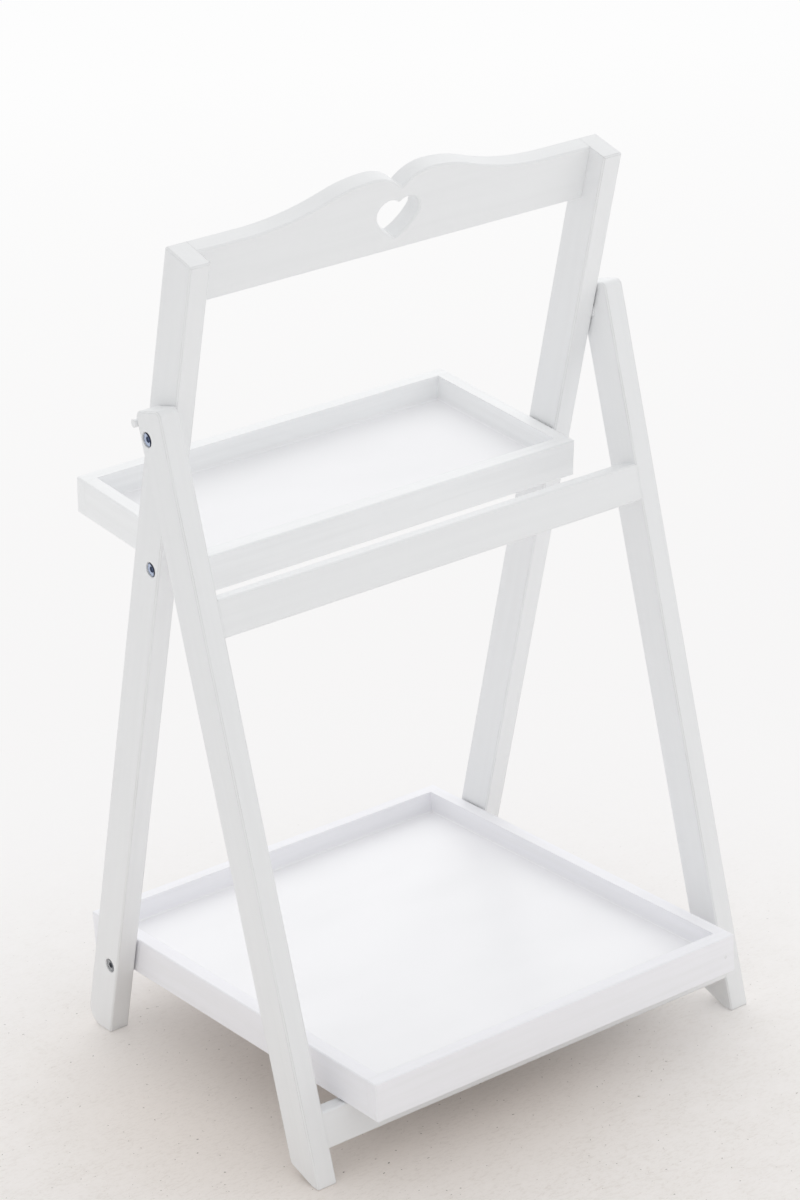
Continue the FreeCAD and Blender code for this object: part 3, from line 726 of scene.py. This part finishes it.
def photo_camera():
    """The camera that was fitted to the photograph, rolled and shifted as that one was."""
    camera = bpy.data.objects.new("camera", bpy.data.cameras.new("camera"))
    bpy.context.collection.objects.link(camera)
    bpy.context.scene.camera = camera
    ahead = Vector((-math.sin(HEADING) * math.cos(PITCH), math.cos(HEADING) * math.cos(PITCH),
                    -math.sin(PITCH)))
    level = Vector((math.cos(HEADING), math.sin(HEADING), 0))
    upright = level.cross(ahead)
    right = level * math.cos(ROLL) + upright * math.sin(ROLL)
    up = upright * math.cos(ROLL) - level * math.sin(ROLL)
    turn = Matrix((right, up, -ahead)).transposed().to_4x4()
    camera.matrix_world = Matrix.Translation(CAMERA_PLACE) @ turn
    camera.data.sensor_width = SENSOR
    camera.data.lens = FOCAL_PIXELS * SENSOR / PHOTO_HEIGHT
    camera.data.shift_x = (PHOTO_WIDTH / 2 - AXIS_X) / PHOTO_HEIGHT
    camera.data.shift_y = (AXIS_Y - PHOTO_HEIGHT / 2) / PHOTO_HEIGHT


class ShelfStudio(bpy.types.Operator):
    """Lays the floor, sets the lights and stands the camera at the photograph's angle"""
    bl_idname = "shelf.studio"
    bl_label = "Set the studio"

    def execute(self, context):
        stage = context.scene.shelf_stage
        deselect()
        bpy.ops.mesh.primitive_plane_add(size=24)
        floor = context.active_object
        floor.name = "floor"
        floor.data.materials.append(floor_material())
        soft_light("rear softbox", place=(2.26, 3.3, 4.04), aim=(0, 0, 0.3),
                   width=5.2, height=4.0, power=stage.key)
        soft_light("front right softbox", place=(2.4, -1.4, 1.3), aim=(0, 0, 0.35),
                   width=1.2, height=1.2, power=stage.fill)
        studio_world()
        photo_camera()
        context.scene.view_settings.view_transform = "Standard"
        return {"FINISHED"}


class ShelfSidebar(bpy.types.Panel):
    """Lists the steps that dress the shelf, with their sizes and colours"""
    bl_idname = "VIEW3D_PT_step_shelf"
    bl_label = "Step Shelf"
    bl_space_type = "VIEW_3D"
    bl_region_type = "UI"
    bl_category = "Step Shelf"

    def draw(self, context):
        for step in STEPS:
            self.layout.operator(step.bl_idname)
        for pointer in GROUPS:
            group = getattr(context.scene, pointer)
            box = self.layout.box()
            for name in group.__annotations__:
                box.prop(group, name)


GROUPS = {"shelf_paint": ShelfPaint, "shelf_hardware": ShelfHardware, "shelf_stage": ShelfStage}
STEPS = (ShelfPaintSticks, ShelfPaintTrays, ShelfPaintBeads, ShelfFillSeams,
         ShelfPlateHardware, ShelfNailHeads, ShelfStudio)


def register():
    for each in (*GROUPS.values(), *STEPS, ShelfSidebar):
        bpy.utils.register_class(each)
    for name, group in GROUPS.items():
        setattr(bpy.types.Scene, name, bpy.props.PointerProperty(type=group))


def unregister():
    for name in GROUPS:
        delattr(bpy.types.Scene, name)
    for each in (ShelfSidebar, *reversed(STEPS), *reversed(list(GROUPS.values()))):
        bpy.utils.unregister_class(each)


def main():
    register()
    bpy.ops.shelf.paint_sticks()
    bpy.ops.shelf.paint_trays()
    bpy.ops.shelf.paint_beads()
    bpy.ops.shelf.fill_seams()
    bpy.ops.shelf.plate_hardware()
    bpy.ops.shelf.nail_heads()
    bpy.ops.shelf.studio()


if __name__ == "__main__":
    main()
